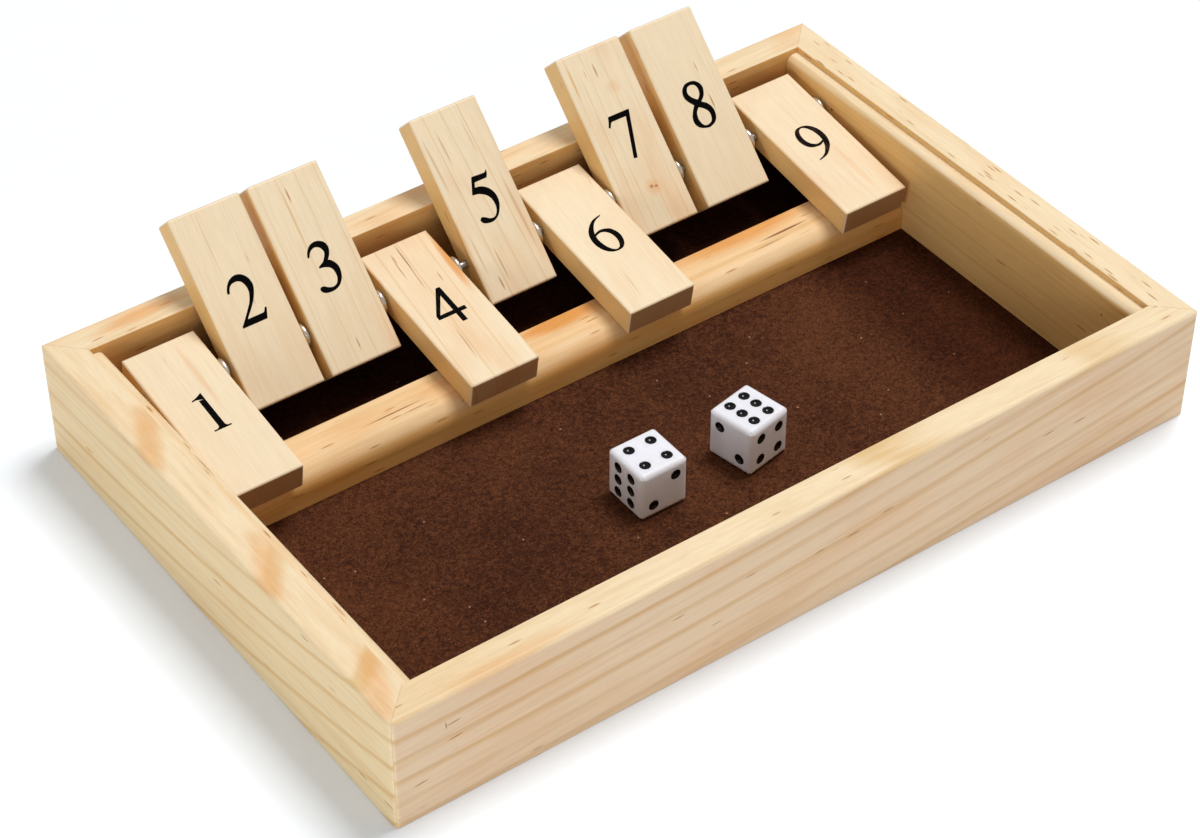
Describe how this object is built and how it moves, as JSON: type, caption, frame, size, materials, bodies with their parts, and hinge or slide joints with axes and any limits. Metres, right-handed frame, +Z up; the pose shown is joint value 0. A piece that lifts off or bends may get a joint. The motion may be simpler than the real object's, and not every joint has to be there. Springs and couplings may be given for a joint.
{
  "type": "shut the box game",
  "caption": "Wooden shut the box dice game: mitred tray with a felt floor, a row of numbered tiles that turn over on a steel rod, a rail that they come to rest on, and dice.",
  "frame": {"origin": "centre of the tray's underside", "axes": "+X to the right along the row of tiles, +Y from the player to the back wall, +Z up"},
  "size_m": [0.28, 0.1907, 0.0631],
  "materials": {
    "frame_pine": "clear-sealed pine, satin",
    "trim_pine": "clear-sealed pine, satin",
    "base_ply": "bare plywood",
    "brown_felt": "short-pile felt",
    "steel_rod": "drawn steel, satin",
    "nickel_spacer": "nickel plate, polished",
    "tile_pine": "clear-sealed pine, satin",
    "die_plastic": "moulded, polished, pips painted black"
  },
  "bodies": {
    "tray": {"front_wall": "frame_pine", "back_wall": "frame_pine", "left_wall": "frame_pine", "right_wall": "frame_pine", "base_board": "base_ply", "felt_floor": "brown_felt", "left_liner": "trim_pine", "right_liner": "trim_pine", "tile_rail": "trim_pine", "pivot_rod": "steel_rod", "spacer_1": "nickel_spacer", "spacer_2": "nickel_spacer", "spacer_3": "nickel_spacer", "spacer_4": "nickel_spacer", "spacer_5": "nickel_spacer", "spacer_6": "nickel_spacer", "spacer_7": "nickel_spacer", "spacer_8": "nickel_spacer", "spacer_9": "nickel_spacer", "spacer_10": "nickel_spacer"},
    "tile_1": {"tile_1": "tile_pine"},
    "tile_2": {"tile_2": "tile_pine"},
    "tile_3": {"tile_3": "tile_pine"},
    "tile_4": {"tile_4": "tile_pine"},
    "tile_5": {"tile_5": "tile_pine"},
    "tile_6": {"tile_6": "tile_pine"},
    "tile_7": {"tile_7": "tile_pine"},
    "tile_8": {"tile_8": "tile_pine"},
    "tile_9": {"tile_9": "tile_pine"},
    "left_die": {"left_die": "die_plastic"},
    "right_die": {"right_die": "die_plastic"}
  },
  "joints": [
    {"name": "tile_1_turn", "type": "hinge", "parent": "tray", "child": "tile_1", "pos_m": [-0.11034, 0.0633, 0.0279], "axis": [1, 0, 0], "range_deg": [-143.89, 0]},
    {"name": "tile_2_turn", "type": "hinge", "parent": "tray", "child": "tile_2", "pos_m": [-0.08331, 0.0633, 0.0279], "axis": [1, 0, 0], "range_deg": [0, 143.89]},
    {"name": "tile_3_turn", "type": "hinge", "parent": "tray", "child": "tile_3", "pos_m": [-0.05657, 0.0633, 0.0279], "axis": [1, 0, 0], "range_deg": [0, 143.89]},
    {"name": "tile_4_turn", "type": "hinge", "parent": "tray", "child": "tile_4", "pos_m": [-0.0294, 0.0633, 0.0279], "axis": [1, 0, 0], "range_deg": [-143.89, 0]},
    {"name": "tile_5_turn", "type": "hinge", "parent": "tray", "child": "tile_5", "pos_m": [-0.00014, 0.0633, 0.0279], "axis": [1, 0, 0], "range_deg": [0, 143.89]},
    {"name": "tile_6_turn", "type": "hinge", "parent": "tray", "child": "tile_6", "pos_m": [0.02758, 0.0633, 0.0279], "axis": [1, 0, 0], "range_deg": [-143.89, 0]},
    {"name": "tile_7_turn", "type": "hinge", "parent": "tray", "child": "tile_7", "pos_m": [0.05363, 0.0633, 0.0279], "axis": [1, 0, 0], "range_deg": [0, 143.89]},
    {"name": "tile_8_turn", "type": "hinge", "parent": "tray", "child": "tile_8", "pos_m": [0.08177, 0.0633, 0.0279], "axis": [1, 0, 0], "range_deg": [0, 143.89]},
    {"name": "tile_9_turn", "type": "hinge", "parent": "tray", "child": "tile_9", "pos_m": [0.11034, 0.0633, 0.0279], "axis": [1, 0, 0], "range_deg": [-143.89, 0]},
    {"name": "left_die_lift", "type": "slide", "parent": "tray", "child": "left_die", "axis": [0, 0, 1], "range_m": [0, 0.06]},
    {"name": "right_die_lift", "type": "slide", "parent": "tray", "child": "right_die", "axis": [0, 0, 1], "range_m": [0, 0.06]}
  ]
}
